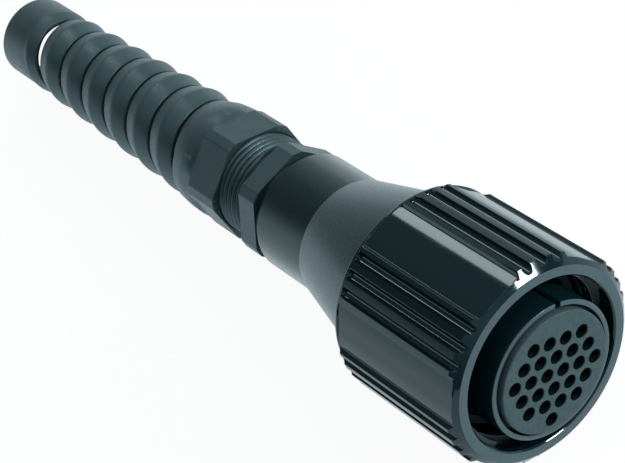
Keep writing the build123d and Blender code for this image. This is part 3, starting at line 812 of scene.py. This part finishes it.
# Table, light and camera
floorSizes = {
    "width": 6.0, "tableTilt": 4.6, "touchStation": -36.3, "touchHeight": -21.82, "paint": 0.86,
    "rough": 0.9, "whiteShare": 0.88, "cameraGlow": 1.06, "mirrorGlow": 1.0, "bounce": 0.3}
coolLight = (0.80, 0.95, 1.0, 1.0)
white = (1.0, 1.0, 1.0, 1.0)
skyLobes = {  # each pale zone of the room: its direction over the table, how narrow it is and how strong
    "tail": {"toward": (-1.0, 0.0, 0.12), "sharpness": 8, "level": 0.3},
    "tailLeft": {"toward": (-0.67, -0.74, 0.12), "sharpness": 20, "level": 1.6},
    "front": {"toward": (1.0, 0.0, 0.2), "sharpness": 5, "level": 0.5},
    "right": {"toward": (0.0, 1.0, 0.12), "sharpness": 8, "level": 0.8},
    "tailRight": {"toward": (-0.7, 0.7, 0.12), "sharpness": 8, "level": 0.7},
    "highTail": {"toward": (-0.8, 0.0, 0.7), "sharpness": 8, "level": 0.15},
    "highFront": {"toward": (0.8, 0.0, 0.7), "sharpness": 8, "level": 0.25},
    "highRight": {"toward": (0.0, 0.8, 0.7), "sharpness": 8, "level": 0.45},
    "zenith": {"toward": (0.0, 0.0, 1.0), "sharpness": 8, "level": 1.1}}
lampSizes = {  # both lamps are seen mirrored in the ring: by the edge of a panel and on its front chamfer
    "key": {"spot": (-20, -7.8, 20.5), "toward": (-0.652, 0.012, 0.756), "aside": (0, 1, 0),
            "distance": 0.75, "size": (0.137, 0.17), "radiance": 5.94},
    "lamp": {"spot": (-3.2, -5.5, 20.7), "toward": (0.745, 0.302, 0.595), "aside": (0.346, -0.937, 0.038),
             "distance": 0.6, "size": (0.188, 0.07), "radiance": 55.0}}
cameraSizes = {  # found by matching the photograph's view, in mm and with the keyway on top
    "eye": (234.858, -233.903, 211.016), "right": (0.59884, 0.80078, 0.01182),
    "up": (-0.39490, 0.28241, 0.87424), "sensor": 36.0, "lens": 121.73, "nearest": 10.0}


def makeFloor():  # white to the camera and in mirrors, and a plain pale table to other light
    sizes = floorSizes
    half = sizes["width"] / 2
    corners = [(-half, -half, 0), (half, -half, 0), (half, half, 0), (-half, half, 0)]
    floor = meshPiece("floor", corners, [(0, 1, 2, 3)])
    tilt = Matrix.Rotation(radians(sizes["tableTilt"]), 4, "Y")
    touch = Matrix.Translation((sizes["touchStation"] * mm, 0, sizes["touchHeight"] * mm))
    floor.data.transform(touch @ tilt)
    material = bpy.data.materials.new("whiteTable")
    material.use_nodes = True
    tree = material.node_tree
    shader = tree.nodes["Principled BSDF"]
    paint = sizes["paint"]
    shader.inputs["Base Color"].default_value = (paint, paint, paint, 1)
    shader.inputs["Roughness"].default_value = sizes["rough"]
    shader.inputs["Specular IOR Level"].default_value = 0.0
    path = addNode(tree, "ShaderNodeLightPath")
    camera = path["Is Camera Ray"]
    mirrorGlow = sizes["mirrorGlow"] / sizes["whiteShare"]
    strength = addNode(tree, "ShaderNodeMapRange", {
        "Value": camera, "To Min": mirrorGlow, "To Max": sizes["cameraGlow"]})[0]
    glow = addNode(tree, "ShaderNodeEmission", {
        "Color": mixColours(tree, camera, coolLight, white), "Strength": strength})[0]
    mirrored = calc(tree, "MAXIMUM", path["Is Glossy Ray"], path["Is Transmission Ray"])
    share = calc(tree, "MULTIPLY", calc(tree, "MAXIMUM", camera, mirrored), sizes["whiteShare"])
    share = calc(tree, "MAXIMUM", share, sizes["bounce"])
    mixed = addNode(tree, "ShaderNodeMixShader", {0: share, 1: shader.outputs[0], 2: glow})[0]
    tree.links.new(mixed, tree.nodes["Material Output"].inputs["Surface"])
    floor.data.materials.append(material)


def makeWorld():  # the sum of the room's pale zones, and white to the camera
    world = bpy.data.worlds.new("studio")
    bpy.context.scene.world = world
    world.use_nodes = True
    tree = world.node_tree
    direction = addNode(tree, "ShaderNodeTexCoord")["Generated"]
    path = addNode(tree, "ShaderNodeLightPath")
    seen = calc(tree, "MAXIMUM", path["Is Camera Ray"], path["Is Transmission Ray"])
    light = 0.0
    for lobe in skyLobes.values():
        unit = Vector(lobe["toward"]).normalized()
        facing = addNode(tree, "ShaderNodeVectorMath", {0: direction, 1: unit}, operation="DOT_PRODUCT")
        narrowed = calc(tree, "POWER", calc(tree, "MAXIMUM", facing["Value"], 0.0), lobe["sharpness"])
        light = calc(tree, "ADD", light, calc(tree, "MULTIPLY", narrowed, lobe["level"]))
    background = tree.nodes["Background"].inputs
    tree.links.new(mixColours(tree, seen, coolLight, white), background["Color"])
    tree.links.new(calc(tree, "MAXIMUM", light, seen), background["Strength"])


def makeLamp(name, lamp):
    light = bpy.data.lights.new(name, "AREA")
    light.shape = "RECTANGLE"
    light.size, light.size_y = lamp["size"]
    light.energy = lamp["radiance"] * pi * light.size * light.size_y
    turn = lie.to_3x3()
    toward = (turn @ Vector(lamp["toward"])).normalized()
    aside = turn @ Vector(lamp["aside"])
    aside = (aside - toward * aside.dot(toward)).normalized()
    pose = Matrix((aside, toward.cross(aside), toward)).transposed().to_4x4()
    pose.translation = lie @ (Vector(lamp["spot"]) * mm) + toward * lamp["distance"]
    holder = bpy.data.objects.new(name, light)
    holder.matrix_world = pose
    bpy.context.collection.objects.link(holder)


def makeCamera():
    sizes = cameraSizes
    right = Vector(sizes["right"])
    up = Vector(sizes["up"])
    camera = bpy.data.cameras.new("camera")
    camera.sensor_width = sizes["sensor"]
    camera.lens = sizes["lens"]
    camera.clip_start = sizes["nearest"] * mm
    holder = bpy.data.objects.new("camera", camera)
    bpy.context.collection.objects.link(holder)
    pose = Matrix((right, up, right.cross(up))).transposed().to_4x4()
    pose.translation = Vector(sizes["eye"]) * mm
    holder.matrix_world = lie @ pose
    bpy.context.scene.camera = holder


makeFloor()
makeWorld()
for lampName, lampLook in lampSizes.items():
    makeLamp(lampName, lampLook)
makeCamera()
bpy.context.scene.view_settings.view_transform = "Standard"
print("stage ready")
